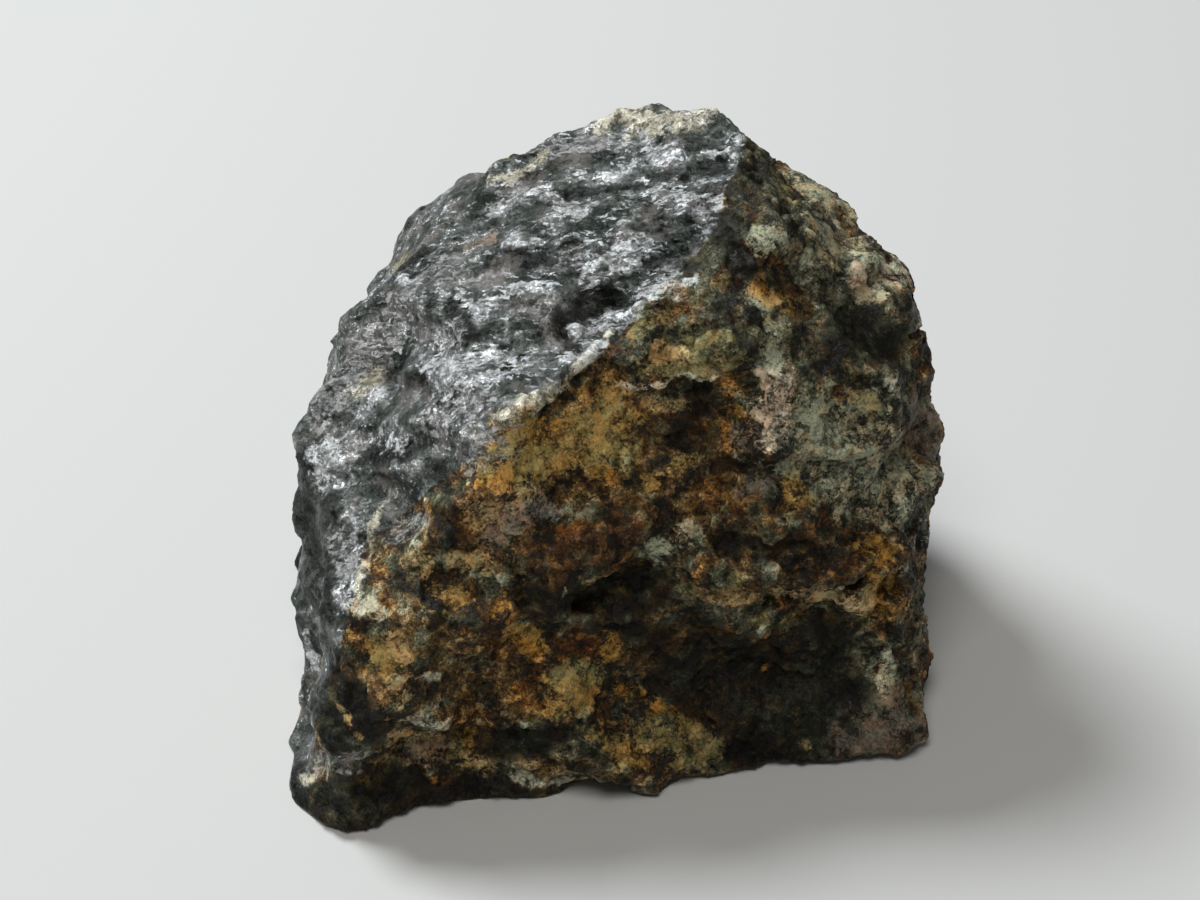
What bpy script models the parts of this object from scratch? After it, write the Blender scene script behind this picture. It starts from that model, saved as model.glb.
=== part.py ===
"""A raw iolite: one broken lump of cordierite rock, standing on a flat fracture.

Metres, +Z up. The origin is the middle of the stone's foot, and -Y is its front.
The stone is made the way it broke. A block is split along the large fracture faces,
its edges are worn a little, and then the skin is moved in and out: lumps, shell shaped
chips, grains and layers over the whole of it, and the hollows, knobs and ledges that
are this stone's own. The last split is the foot that it stands on.
"""

import math
import random

import bmesh
import bpy
from mathutils import Vector, bvhtree, kdtree, noise

MM = 0.001

# Driving dimensions
HEART = Vector((0.0, 0.0, 14.0)) * MM  # the point that bearings and reaches are taken from
BLOCK_SIDE = 48 * MM                   # the block that the stone is split from
SKIN_STEP = 0.33 * MM                  # edge length of the skin while it is shaped
EDGE_WEAR_PASSES = 5                   # smoothing passes that round the split edges
SOFTEN_PASSES = 1                      # smoothing passes after the relief
MOST_TRIANGLES = 12400                 # of the skin, before the foot is cut
ROOT_DEPTH = 4 * MM                    # how far the block goes on below the foot until it is cut
FOOT_SNAP = 0.15 * MM                  # skin this near the foot's plane is part of the foot
SHORTEST_EDGE = 0.05 * MM              # shorter ones, left by the foot's cut, are merged
SHARP_EDGE = math.radians(38)          # edges that turn more than this stay crisp

# Large fracture faces: name, bearing, rise, reach.
# Bearing turns from the front (-Y) towards +X and rise is above the horizon, in degrees.
# Reach is how far the face lies from the heart.
FRACTURES = (
    ("front_lower", 11, 10, 7.4 * MM),
    ("front_upper", 12, 30, 7.6 * MM),
    ("front_right_edge", 66, 8, 14.2 * MM),
    ("silver_upper", -46, 63, 9.3 * MM),
    ("silver_left", -58, 43, 10.1 * MM),
    ("left_front_edge", -75, 4, 15.1 * MM),
    ("left_wall", -92, 2, 15.6 * MM),
    ("left_shoulder", -108, 23, 14.1 * MM),
    ("back_left_high", -132, 43, 14.9 * MM),
    ("top_left", -151, 50, 15.8 * MM),
    ("top", 146, 49, 16.8 * MM),
    ("right_high_back", 125, 39, 15.6 * MM),
    ("right_high_side", 97, 9, 15.6 * MM),
    ("right_shoulder", 71, 53, 13.6 * MM),
    ("right_slope", 70, 30, 13.9 * MM),
    ("right_wall", 88, 0, 15.5 * MM),
    ("back_top_edge", 160, 30, 16.0 * MM),
    ("back_left", -140, 8, 15.2 * MM),
    ("back_lower", 186, -4, 13.2 * MM),
    ("back_right", 132, 8, 15.6 * MM),
    ("front_undercut", 12, -40, 16.3 * MM),
    ("front_right_undercut", 34, -42, 19.0 * MM),
)

# Hollows and knobs: name, bearing, rise, half width, half height, lift.
# A hollow has a lift below zero. Each is set on the skin where its bearing meets it.
DENTS = (
    ("front_hollow", -2, -16, 5.2 * MM, 1.7 * MM, -1.9 * MM),
    ("brow_over_hollow", -4, 6, 5.0 * MM, 2.2 * MM, 0.7 * MM),
    ("silver_pit", -16, 75, 2.6 * MM, 1.7 * MM, -1.1 * MM),
    ("dome_by_pit", -86, 26, 1.6 * MM, 1.6 * MM, 0.7 * MM),
    ("pale_grain", 104, 36, 2.4 * MM, 1.9 * MM, 0.7 * MM),
    ("small_round_grain", 91, 58, 1.3 * MM, 1.2 * MM, 0.6 * MM),
    ("cream_bump", -38, 39, 1.4 * MM, 1.2 * MM, 0.6 * MM),
    ("toe_corner", -58, -41, 4.4 * MM, 4.4 * MM, 1.6 * MM),
    ("right_lobe", 66, -38, 2.6 * MM, 2.4 * MM, 0.7 * MM),
    ("right_bulge", 88, -4, 2.6 * MM, 3.2 * MM, 0.5 * MM),
    ("right_low_notch", 84, -25, 2.4 * MM, 3.0 * MM, -1.3 * MM),
    ("right_corner", 98, 31, 2.8 * MM, 2.8 * MM, 1.4 * MM),
    ("bottom_notch", -4, -54, 3.4 * MM, 2.2 * MM, -1.6 * MM),
)

# Ledges: name, bearing and rise of one end, bearing and rise of the other, overhang.
LEDGES = (
    ("pale_ledge", 20, 52, 60, 45, 0.7 * MM),
    ("dark_ledge_high", 46, 20, 70, 12, 0.7 * MM),
    ("dark_ledge_mid", 32, 3, 58, -4, 0.8 * MM),
    ("pale_topped_ledge", 30, -17, 70, -12, 1.0 * MM),
    ("lip", -60, -33, -8, -44, 0.4 * MM),
)
LEDGE_REACH = 2.2 * MM                              # how far above and below it a ledge is felt
LEDGE_WANDER, LEDGE_WANDER_SIZE = 0.35 * MM, 1.8 * MM
LEDGE_TAPER = 0.15                                  # share of its length that each end runs out in

# Relief of the whole skin
LUMP_SIZE, LUMP_LIFT, LUMP_PHASE = 9.0 * MM, 0.5 * MM, Vector((14.3, 28.1, 0))
SHELL_SIZE, SHELL_ROUND = 6.0 * MM, 8.0 * MM        # how far apart the shell chips are, their radius
SHELL_LEVELS, SHELL_SEED = 0.7 * MM, 99             # how much deeper one is than another
GRAIN_SIZE, GRAIN_ROUND = 3.0 * MM, 2.2 * MM        # the same for the grains
GRAIN_LEVELS, GRAIN_SEED = 0.5 * MM, 184
LEAST_GRAIN = 0.3                                   # share of the grains' lift where it is finest
COARSE_PATCH, COARSE_PHASE = 8.0 * MM, 3.1          # patches of coarse grain
BEND, BEND_SIZE = 1.1 * MM, 3.0 * MM                # how far and how closely the edges wander
BEND_PHASES = (Vector((0, 0, 0)), Vector((19, 7, 3)), Vector((5, 31, 11)))
LAYERS_UP = Vector((-0.25, 0.10, 0.96)).normalized()  # the rock's layers lie across this
LAYER_STEP, LAYER_LIFT = 1.6 * MM, 0.5 * MM
LAYER_WANDER, LAYER_WANDER_SIZE = 0.5, 6.0 * MM     # in steps
LAYER_END_SIZE = 3.5 * MM                           # how ragged the layers' ends are
LAYER_PATCH, LAYER_PHASE = 9.0 * MM, 8.4            # patches where the layers show
TREAD_SHARE = 0.6                                   # how fully a tread lies along its layer
RISER_SHARE = 0.25                                  # share of a step that is its riser
SILVER_FACING, SILVER_CALM = (-50, 54), 0.5         # the silver faces have lower chips and grains


def direction(bearing, rise):
    """The unit vector at a bearing and a rise."""
    b, r = math.radians(bearing), math.radians(rise)
    return Vector((math.sin(b) * math.cos(r), -math.cos(b) * math.cos(r), math.sin(r)))


def split_off(bm, place, outward):
    """Cuts away what lies outward of a plane, and closes the cut with a flat face."""
    cut = bmesh.ops.bisect_plane(
        bm,
        geom=bm.verts[:] + bm.edges[:] + bm.faces[:],
        plane_co=place,
        plane_no=outward,
        clear_outer=True,
    )
    rim = [part for part in cut["geom_cut"] if isinstance(part, bmesh.types.BMEdge)]
    bmesh.ops.edgeloop_fill(bm, edges=rim)


def split_block():
    """The block, split along every fracture face."""
    bm = bmesh.new()
    bmesh.ops.create_cube(bm, size=BLOCK_SIDE)
    bmesh.ops.translate(bm, verts=bm.verts, vec=HEART)
    for _, bearing, rise, reach in FRACTURES:
        outward = direction(bearing, rise)
        split_off(bm, HEART + outward * reach, outward)
    split_off(bm, Vector((0, 0, -ROOT_DEPTH)), Vector((0, 0, -1)))
    return bm


def apply_modifiers(stone):
    """Makes the stone's modifiers part of its mesh."""
    bpy.context.view_layer.update()
    graph = bpy.context.evaluated_depsgraph_get()
    stone.data = bpy.data.meshes.new_from_object(stone.evaluated_get(graph))
    stone.modifiers.clear()


def smooth(stone, name, passes):
    modifier = stone.modifiers.new(name, "SMOOTH")
    modifier.factor = 0.5
    modifier.iterations = passes


def give_skin(stone):
    """Gives the split block an even skin of small faces, and rounds its edges a little."""
    remesh = stone.modifiers.new("even_skin", "REMESH")
    remesh.mode = "VOXEL"
    remesh.voxel_size = SKIN_STEP
    smooth(stone, "edge_wear", EDGE_WEAR_PASSES)
    apply_modifiers(stone)


def thin_skin(stone):
    """Softens the finest steps of the relief, then keeps only the faces that carry the shape."""
    smooth(stone, "soften", SOFTEN_PASSES)
    thin = stone.modifiers.new("fewer_faces", "DECIMATE")
    thin.ratio = MOST_TRIANGLES / sum(len(p.vertices) - 2 for p in stone.data.polygons)
    apply_modifiers(stone)


def cut_foot(stone):
    """Splits off what lies below z = 0, which leaves the flat foot, and centres the stone."""
    bm = bmesh.new()
    bm.from_mesh(stone.data)
    for vert in bm.verts:
        if abs(vert.co.z) < FOOT_SNAP:
            vert.co.z = 0.0
    split_off(bm, Vector((0, 0, 0)), Vector((0, 0, -1)))
    bmesh.ops.remove_doubles(bm, verts=bm.verts, dist=SHORTEST_EDGE)
    bmesh.ops.triangulate(bm, faces=bm.faces[:])
    low, high = (Vector(end(v.co[i] for v in bm.verts) for i in range(3)) for end in (min, max))
    middle = (low + high) / 2
    bmesh.ops.translate(bm, verts=bm.verts, vec=(-middle.x, -middle.y, 0))
    bm.normal_update()
    bm.to_mesh(stone.data)
    bm.free()


def scattered(seed, spacing):
    """A tree of points strewn through the block, this far apart on average, with a level each."""
    rng = random.Random(seed)
    count = math.ceil((BLOCK_SIDE / spacing) ** 3)
    tree = kdtree.KDTree(count)
    for i in range(count):
        strewn = Vector((rng.random(), rng.random(), rng.random())) - Vector((0.5, 0.5, 0.5))
        tree.insert(HEART + strewn * BLOCK_SIDE, i)
    tree.balance()
    return tree, [rng.random() for _ in range(count)]


def bend(point):
    """A slow wandering in all three directions, each from -1 to 1."""
    return Vector([noise.noise(point + phase) for phase in BEND_PHASES])


def shell_chips(place, cells):
    """Shell shaped chips: the deepest of the round hollows that reach this place."""
    tree, levels = cells
    near = tree.find_n(place, 14)
    return min(SHELL_LEVELS * levels[i] + far * far / (2 * SHELL_ROUND) for _, i, far in near)


def grains(place, cells):
    """Grains: the highest of the round knobs that reach this place."""
    tree, levels = cells
    near = tree.find_n(place, 8)
    return max(GRAIN_LEVELS * levels[i] - far * far / (2 * GRAIN_ROUND) for _, i, far in near)


def layers(place, normal):
    """Broken layers: treads where the skin lies along them, ragged ends where it cuts them."""
    wander = LAYER_WANDER * noise.noise(place / LAYER_WANDER_SIZE)
    height = place.dot(LAYERS_UP) / LAYER_STEP + wander
    layer = math.floor(height)
    part = height - layer
    ramp = min(part / (1 - RISER_SHARE), (1 - part) / RISER_SHARE)
    along = abs(normal.dot(LAYERS_UP))
    end = noise.noise(place / LAYER_END_SIZE + Vector((layer * 5.7, 0, layer * 2.3)))
    tread = (0.5 - ramp) * along * LAYER_STEP * TREAD_SHARE
    return tread + LAYER_LIFT * end * (1 - 0.5 * along)


def patch(place, size, phase):
    """A slow on and off over the skin, from 0 to 1."""
    value = noise.noise(place / size + Vector((phase, phase * 0.7, -phase)))
    return min(1.0, max(0.0, 0.5 + 1.6 * value))


def frame_at(skin, bearing, rise):
    """The place on the skin at a bearing, with its normal, its level tangent and its upward one."""
    place, normal, _, _ = skin.ray_cast(HEART, direction(bearing, rise))
    across = Vector((0, 0, 1)).cross(normal).normalized()
    return place, normal, across, normal.cross(across)


def dent_shape(skin, dent):
    """The lift of one hollow or knob, as a function of the place."""
    _, bearing, rise, half_width, half_height, lift = dent
    middle, normal, across, up = frame_at(skin, bearing, rise)
    half_depth = max(half_width, half_height)

    def shape(place):
        offset = place - middle
        away = Vector((
            offset.dot(across) / half_width,
            offset.dot(up) / half_height,
            offset.dot(normal) / half_depth,
        )).length
        return lift * (1 - away * away) ** 2 if away < 1 else 0.0

    return shape


def ledge_shape(skin, ledge):
    """The lift of one ledge: out above its edge, in below it, and nothing past its ends."""
    _, bearing_a, rise_a, bearing_b, rise_b, overhang = ledge
    start, normal_a, _, _ = frame_at(skin, bearing_a, rise_a)
    end, normal_b, _, _ = frame_at(skin, bearing_b, rise_b)
    length = (end - start).length
    along = (end - start).normalized()
    up = (normal_a + normal_b).normalized().cross(along)
    up = up if up.z > 0 else -up

    def shape(place):
        offset = place - start
        run = offset.dot(along) / length
        if offset.length > length + LEDGE_REACH or not -LEDGE_TAPER < run < 1 + LEDGE_TAPER:
            return 0.0
        wander = LEDGE_WANDER * noise.noise(place / LEDGE_WANDER_SIZE)
        height = (offset.dot(up) + wander) / LEDGE_REACH
        ends = min(1.0, 4 * (run + LEDGE_TAPER), 4 * (1 + LEDGE_TAPER - run))
        if 0 <= height < 1:
            return overhang * ends * (1 - height)
        if -1 < height < 0:
            return -overhang * ends * (1 + height)
        return 0.0

    return shape


def shape_skin(mesh):
    """Moves every point of the skin along its normal by the relief."""
    skin = bvhtree.BVHTree.FromPolygons(
        [v.co for v in mesh.vertices], [p.vertices for p in mesh.polygons]
    )
    own_shapes = [dent_shape(skin, d) for d in DENTS] + [ledge_shape(skin, d) for d in LEDGES]
    shell_cells = scattered(SHELL_SEED, SHELL_SIZE)
    grain_cells = scattered(GRAIN_SEED, GRAIN_SIZE)
    silver_out = direction(*SILVER_FACING)
    normals = [v.normal.copy() for v in mesh.vertices]
    lifts = []
    for vertex, normal in zip(mesh.vertices, normals):
        place = vertex.co
        bent = place + BEND * bend(place / BEND_SIZE)
        strength = 1 - SILVER_CALM * max(0.0, normal.dot(silver_out)) ** 4
        coarse = LEAST_GRAIN + (1 - LEAST_GRAIN) * patch(place, COARSE_PATCH, COARSE_PHASE)
        lift = LUMP_LIFT * noise.fractal(place / LUMP_SIZE + LUMP_PHASE, 0.9, 2.1, 2)
        lift += strength * shell_chips(bent, shell_cells)
        lift += strength * coarse * grains(bent, grain_cells)
        lift += patch(place, LAYER_PATCH, LAYER_PHASE) * layers(place, normal)
        lifts.append(lift)
    mean = sum(lifts) / len(lifts)
    for vertex, normal, lift in zip(mesh.vertices, normals, lifts):
        lift += sum(shape(vertex.co) for shape in own_shapes) - mean
        vertex.co = vertex.co + normal * lift


def rock_material():
    """Dark green-grey rock with a dull, slightly greasy shine."""
    material = bpy.data.materials.new("iolite_rock")
    material.use_nodes = True
    shader = material.node_tree.nodes["Principled BSDF"]
    shader.inputs["Base Color"].default_value = (0.09, 0.085, 0.07, 1)
    shader.inputs["Roughness"].default_value = 0.5
    shader.inputs["Metallic"].default_value = 0.0
    return material


def main():
    for obj in list(bpy.data.objects):
        bpy.data.objects.remove(obj)
    stone = bpy.data.objects.new("raw_iolite", bpy.data.meshes.new("raw_iolite"))
    bm = split_block()
    bm.to_mesh(stone.data)
    bm.free()
    collection = bpy.data.collections.new("raw_iolite")
    bpy.context.scene.collection.children.link(collection)
    collection.objects.link(stone)
    give_skin(stone)
    shape_skin(stone.data)
    thin_skin(stone)
    cut_foot(stone)
    stone.data.name = "raw_iolite"
    stone.data.materials.clear()
    stone.data.materials.append(rock_material())
    stone.data.shade_smooth()
    stone.data.set_sharp_from_angle(angle=SHARP_EDGE)
    print(len(stone.data.polygons), "triangles", [round(d * 1000, 2) for d in stone.dimensions])


main()
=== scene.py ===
# %% [markdown]
# # A lump of raw iolite
# Iolite is the gem name of cordierite. Raw pieces are sold as they break out of gneiss: a dark, greasy
# groundmass with grains of quartz and feldspar, flakes of mica and a film of rust. This lesson dresses a
# plain solid of such a stone, which is loaded as a fixed frame. Nothing here moves or resizes that solid.

# %% The frame
import math

import bmesh
import bpy
import numpy as np
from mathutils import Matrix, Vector, kdtree, noise
from mathutils.bvhtree import BVHTree


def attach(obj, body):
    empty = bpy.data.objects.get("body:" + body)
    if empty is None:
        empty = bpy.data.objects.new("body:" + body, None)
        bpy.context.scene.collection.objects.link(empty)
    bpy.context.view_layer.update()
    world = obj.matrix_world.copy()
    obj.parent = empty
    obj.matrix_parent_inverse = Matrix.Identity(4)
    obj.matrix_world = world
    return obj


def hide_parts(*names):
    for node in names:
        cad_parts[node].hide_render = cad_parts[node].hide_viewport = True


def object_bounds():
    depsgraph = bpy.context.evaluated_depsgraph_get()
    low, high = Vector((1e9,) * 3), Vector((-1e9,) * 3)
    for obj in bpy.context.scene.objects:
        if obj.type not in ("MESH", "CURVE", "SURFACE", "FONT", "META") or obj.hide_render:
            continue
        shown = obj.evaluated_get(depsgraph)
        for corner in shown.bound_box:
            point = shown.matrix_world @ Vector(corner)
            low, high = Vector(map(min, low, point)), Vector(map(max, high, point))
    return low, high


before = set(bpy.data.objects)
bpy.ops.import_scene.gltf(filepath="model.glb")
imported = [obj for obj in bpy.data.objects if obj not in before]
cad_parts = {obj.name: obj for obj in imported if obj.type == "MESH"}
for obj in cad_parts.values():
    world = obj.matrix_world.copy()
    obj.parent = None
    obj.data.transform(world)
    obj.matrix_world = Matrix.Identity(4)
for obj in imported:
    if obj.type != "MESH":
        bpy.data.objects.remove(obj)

MM = 0.001
cad_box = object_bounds()
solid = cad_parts["raw_iolite"]
print("solid:", len(solid.data.polygons), "faces")
print("box in mm:", [[round(c / MM, 2) for c in corner] for corner in cad_box])

# %% [markdown]
# ## Camera
# The stone is seen from the front and from 36 degrees above, through a long lens, as in a close-up on a
# table. The camera comes first, because the places of the mineral patches are given on its picture, 1200
# by 900.

# %% Camera
PICTURE = (1200, 900)
LENS = 91.07
SENSOR = 36.0
CAMERA_RISE = math.radians(36)
CAMERA_DISTANCE = 150 * MM
NEAREST_SEEN = 10 * MM
AIM = Vector((-0.46, -1.07, 13.7)) * MM
TO_CAMERA = Vector((0, -math.cos(CAMERA_RISE), math.sin(CAMERA_RISE)))
UP_IN_PICTURE = Vector((0, math.sin(CAMERA_RISE), math.cos(CAMERA_RISE)))

camera = bpy.data.objects.new("camera", bpy.data.cameras.new("camera"))
bpy.context.scene.collection.objects.link(camera)
camera.location = AIM + TO_CAMERA * CAMERA_DISTANCE
camera.rotation_euler = (math.pi / 2 - CAMERA_RISE, 0, 0)
camera.data.lens = LENS
camera.data.sensor_width = SENSOR
camera.data.clip_start = NEAREST_SEEN
bpy.context.scene.camera = camera
print("camera at", [round(c / MM, 1) for c in camera.location], "mm")

# %% [markdown]
# ## Floor
# A pale round sheet of paper, wide enough to fill the view from any side. It is stage, so it stays out of
# the stone's body. Its material and the stone's start from the same helper.

# %% Floor
FLOOR_RADIUS = 2.0
FLOOR_SEGMENTS = 96


def finish_material(name, colour, roughness):
    material = bpy.data.materials.new(name)
    material.use_nodes = True
    shader = material.node_tree.nodes["Principled BSDF"]
    shader.inputs["Base Color"].default_value = (*colour, 1)
    shader.inputs["Roughness"].default_value = roughness
    return material


def pale_floor():
    shape = bmesh.new()
    bmesh.ops.create_circle(shape, cap_ends=True, segments=FLOOR_SEGMENTS, radius=FLOOR_RADIUS)
    mesh = bpy.data.meshes.new("floor")
    shape.to_mesh(mesh)
    shape.free()
    floor = bpy.data.objects.new("floor", mesh)
    bpy.context.scene.collection.objects.link(floor)
    floor.data.materials.append(finish_material("pale_paper", colour=(0.50, 0.50, 0.49), roughness=0.95))
    return floor


floor = pale_floor()
print("floor:", 2 * FLOOR_RADIUS, "m across")

# %% [markdown]
# ## Light
# Mica shows its shine only where it throws a light back to the eye. So a cool, window-like lamp hangs
# above the stone, to the left and a little behind it, where the sloping mica face mirrors it to the
# camera. A warm, wider lamp above the front opens the shadows on the rusty side, and a faint sky keeps
# the back from going black.

# %% Light
SKY_COLOUR = (0.9, 0.95, 1.0)
SKY_STRENGTH = 0.12


def soft_lamp(name, direction, distance, size, power, colour):
    lamp = bpy.data.objects.new(name, bpy.data.lights.new(name, "AREA"))
    bpy.context.scene.collection.objects.link(lamp)
    lamp.location = AIM + Vector(direction).normalized() * distance
    lamp.rotation_euler = (AIM - lamp.location).to_track_quat("-Z", "Y").to_euler()
    lamp.data.shape = "DISK"
    lamp.data.size = size
    lamp.data.energy = power
    lamp.data.color = colour
    return lamp


lamps = (
    soft_lamp("window_lamp", direction=(-0.50, 0.36, 0.79), distance=0.5, size=0.20, power=3.1,
              colour=(0.93, 0.97, 1.0)),
    soft_lamp("front_lamp", direction=(-0.10, -0.52, 1.0), distance=0.7, size=0.3, power=2.4,
              colour=(1.0, 0.97, 0.92)),
)
world = bpy.data.worlds.new("studio")
bpy.context.scene.world = world
world.use_nodes = True
sky = world.node_tree.nodes["Background"]
sky.inputs["Color"].default_value = (*SKY_COLOUR, 1)
sky.inputs["Strength"].default_value = SKY_STRENGTH
bpy.context.scene.view_settings.view_transform = "Standard"
print("lamps:", [(lamp.name, round(lamp.data.energy, 1), "W") for lamp in lamps])

# %% [markdown]
# ## The skin
# The solid's few thousand triangles give the form of the stone, but not its grain. Subdivision would keep
# the pattern of the triangles. A voxel remesh turns a merged copy into an even skin instead, fine enough
# to be worked like clay, and a few smoothing passes take the flat triangles out.

# %% The skin
SKIN_STEP = 0.15
SMOOTHING = 9
SMOOTH_FACTOR = 0.5
MERGE_DISTANCE = 1e-6


def with_modifiers(stone, *modifiers):
    """Adds each modifier with its settings and applies it to the stone's mesh."""
    for kind, settings in modifiers:
        modifier = stone.modifiers.new(kind.title(), kind)
        for name, value in settings.items():
            setattr(modifier, name, value)
    evaluated = stone.evaluated_get(bpy.context.evaluated_depsgraph_get())
    mesh = bpy.data.meshes.new_from_object(evaluated)
    stone.modifiers.clear()
    stone.data = mesh
    return stone


def fine_skin():
    shape = bmesh.new()
    shape.from_mesh(solid.data)
    bmesh.ops.remove_doubles(shape, verts=shape.verts, dist=MERGE_DISTANCE)
    mesh = bpy.data.meshes.new("iolite_lump")
    shape.to_mesh(mesh)
    shape.free()
    stone = bpy.data.objects.new("iolite_lump", mesh)
    bpy.context.scene.collection.objects.link(stone)
    remesh = ("REMESH", {"mode": "VOXEL", "voxel_size": SKIN_STEP * MM})
    smooth = ("SMOOTH", {"factor": SMOOTH_FACTOR, "iterations": SMOOTHING})
    return with_modifiers(stone, remesh, smooth)


stone = fine_skin()
print("skin:", len(stone.data.vertices), "points")

# %% [markdown]
# ## Numbers of the skin
# The skin is worked as arrays of points in mm, which is much quicker than one vertex after another. A
# much smoother copy of the skin tells where the stone bulges and where it is hollow.

# %% Numbers of the skin


def points_and_normals(mesh):
    points = np.empty(len(mesh.vertices) * 3, dtype=np.float32)
    normals = np.empty(len(mesh.vertices) * 3, dtype=np.float32)
    mesh.vertices.foreach_get("co", points)
    mesh.vertex_normals.foreach_get("vector", normals)
    return points.reshape(-1, 3).astype(float) / MM, normals.reshape(-1, 3).astype(float)


def set_points(mesh, points):
    mesh.vertices.foreach_set("co", (points * MM).astype(np.float32).ravel())
    mesh.update()


def ramp(values, start, end):
    """0 below start, 1 above end, and an even curve between."""
    t = np.clip((values - start) / (end - start), 0, 1)
    return t * t * (3 - 2 * t)


def smoother_points(stone, rounds):
    """The points of a smoother skin."""
    copy = bpy.data.objects.new("smoother", stone.data.copy())
    bpy.context.scene.collection.objects.link(copy)
    with_modifiers(copy, ("SMOOTH", {"factor": SMOOTH_FACTOR, "iterations": rounds}))
    points, _ = points_and_normals(copy.data)
    bpy.data.objects.remove(copy)
    return points


def depth_below_even(stone, rounds):
    """How deep each point lies below a much smoother skin, in mm. Points that stand proud are negative."""
    points, normals = points_and_normals(stone.data)
    return np.sum((smoother_points(stone, rounds) - points) * normals, axis=1)


rest, facing = points_and_normals(stone.data)
print("skin reaches from", np.round(rest.min(axis=0), 1), "to", np.round(rest.max(axis=0), 1), "mm")

# %% [markdown]
# ## Evening the skin out
# The solid's facets are coarser than the real breaks, so they would show as steps under the fine grain.
# Hollows are filled to about half, and only the highest bulges are shaved. The far side is evened out
# more, because the grain alone gives it its look.

# %% Evening the skin out
EVEN_ROUNDS = 400
NEAR_FILL = 0.55
FAR_FILL = 0.8
SHAVE = 0.3
SHAVED_ABOVE = 0.2
FAR_SHAVE = 0.75
TURNED_AWAY = (-0.45, -0.05)
ABOVE_FOOT = (1.0, 3.5)
depth = depth_below_even(stone, EVEN_ROUNDS)
far = ramp(-facing @ np.array(TO_CAMERA), *TURNED_AWAY) * ramp(rest[:, 2], *ABOVE_FOOT)
shaved = SHAVE * np.maximum(-depth - SHAVED_ABOVE, 0) * (1 - far) + FAR_SHAVE * np.maximum(-depth, 0) * far
fill = (NEAR_FILL + (FAR_FILL - NEAR_FILL) * far) * np.maximum(depth, 0) - shaved
set_points(stone.data, rest + facing * fill[:, None])
rest, facing = points_and_normals(stone.data)
print("filled up to", round(float(fill.max()), 2), "mm, shaved up to", round(float(-fill.min()), 2), "mm")

# %% [markdown]
# ## From the picture to the stone
# Every patch, notch and knob of the front is named by its place in the camera's picture. A line of sight
# through that place meets the skin at one point, so a few places give a stroke that lies on the stone and
# stays there when it is seen from another side.

# %% From the picture to the stone
PIXELS_PER_SLOPE = LENS / SENSOR * PICTURE[0]
MIDDLE_OF_STONE = (614, 470)
SLIDES = 12
SLIDE_SHARE = 0.015
FAR_AWAY = 1e9
SHORTEST_RUN = 1e-9


def line_of_sight(x, y):
    """The direction from the camera through a place in the picture."""
    across = (x - PICTURE[0] / 2) / PIXELS_PER_SLOPE
    up = (PICTURE[1] / 2 - y) / PIXELS_PER_SLOPE
    return (Vector((across, 0, 0)) + UP_IN_PICTURE * up - TO_CAMERA).normalized()


def surface_tree(mesh):
    corners = [v.co / MM for v in mesh.vertices]
    return BVHTree.FromPolygons(corners, [tuple(p.vertices) for p in mesh.polygons])


skin_tree = surface_tree(stone.data)
eye = Vector(camera.location) / MM


def on_the_stone(x, y):
    """The point of the skin, in mm, at a place in the picture. One just off the outline slides inwards."""
    for slide in range(SLIDES):
        share = slide * SLIDE_SHARE
        sight = line_of_sight(x + (MIDDLE_OF_STONE[0] - x) * share, y + (MIDDLE_OF_STONE[1] - y) * share)
        hit, _, _, _ = skin_tree.ray_cast(eye, sight)
        if hit is not None:
            return hit
    raise ValueError(f"no stone at {x}, {y}")


def distances_to_stroke(points, places):
    """Distance in mm from each point to a line through places of the picture, carried onto the skin."""
    marks = [np.array(on_the_stone(*place)) for place in places]
    nearest = np.full(len(points), FAR_AWAY)
    for start, end in zip(marks, marks[1:]):
        run = end - start
        along = np.clip((points - start) @ run / max(run @ run, SHORTEST_RUN), 0, 1)
        away = np.linalg.norm(points - start - along[:, None] * run, axis=1)
        nearest = np.minimum(nearest, away)
    return nearest


def on_stroke(distance, half_width, core, rim):
    """1 on the core of a stroke and 0 past its rim, which are given as shares of its half width."""
    return 1 - ramp(distance, core * half_width, rim * half_width)


print("middle of the picture meets the stone at", [round(c, 1) for c in on_the_stone(*MIDDLE_OF_STONE)], "mm")

# %% [markdown]
# ## Knobs
# Where small bumps of the solid stand out as points that the real stone hasn't got, pushing them in would
# leave dents. They are drawn to the same points of a smoother skin instead. Each row has a name, a half
# width in mm and the places of a stroke.

# %% Knobs
KNOBS = (
    ("shoulder", 1.9, (840, 194), (862, 226)),
    ("right_edge", 1.1, (930, 346), (938, 392)),
    ("right_foot", 1.1, (934, 640), (932, 664)),
    ("middle_ledge", 1.2, (716, 522), (790, 532)),
    ("pink_foot", 0.8, (758, 446), (768, 454)),
)
KNOB_ROUNDS = 150
KNOB_CORE = 0.7
KNOB_RIM = 1.8
calmer = smoother_points(stone, KNOB_ROUNDS)
calmed = np.zeros(len(rest))
for name, half_width, *places in KNOBS:
    knob = on_stroke(distances_to_stroke(rest, places), half_width, KNOB_CORE, KNOB_RIM)
    calmed = np.maximum(calmed, knob)
set_points(stone.data, rest + (calmer - rest) * calmed[:, None])
rest, facing = points_and_normals(stone.data)
print("calmed", len(KNOBS), "knobs,", round(float(calmed.mean()) * 100, 1), "% of the skin")

# %% [markdown]
# ## Noise
# Nothing on a broken stone is straight. Smooth noise that wanders between about -1 and 1 bends borders,
# swells the skin a little and strews spots.

# %% Noise
SHIFT_PHASES = (3.1, 17.7, 41.3)
GAIN = 1.0
LACUNARITY = 2.0


def wander(points, size, octaves=1, phase=0.0):
    """Smooth noise from about -1 to 1 at each point, with swells of the given size in mm."""
    places = (points / size + phase).tolist()
    if octaves == 1:
        return np.array([noise.noise(p) for p in places])
    return np.array([noise.fractal(p, GAIN, LACUNARITY, octaves) for p in places])


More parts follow.
